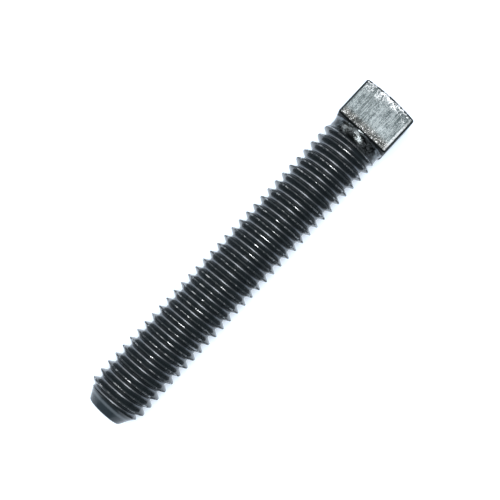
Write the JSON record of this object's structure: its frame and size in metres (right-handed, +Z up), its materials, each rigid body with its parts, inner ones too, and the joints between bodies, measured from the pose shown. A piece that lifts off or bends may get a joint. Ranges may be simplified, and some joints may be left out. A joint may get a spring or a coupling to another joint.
{
  "type": "square head set screw",
  "caption": "Long square head set screw with a coarse right-hand thread, a plain neck under a crowned square head, and a flat coned point.",
  "frame": {"origin": "centre of the bounding box's bottom, under the middle of the screw's length, on the surface that the screw lies on", "axes": "+X along the screw's axis from point to head, +Z up and square to a head flat, +Y to the left seen from the point"},
  "size_m": [0.063, 0.0094, 0.0094],
  "materials": {
    "blackened_steel": "dark oxide over bare steel, satin, worn bright on crests and head edges"
  },
  "bodies": {
    "root": {"set_screw": "blackened_steel"}
  },
  "joints": []
}
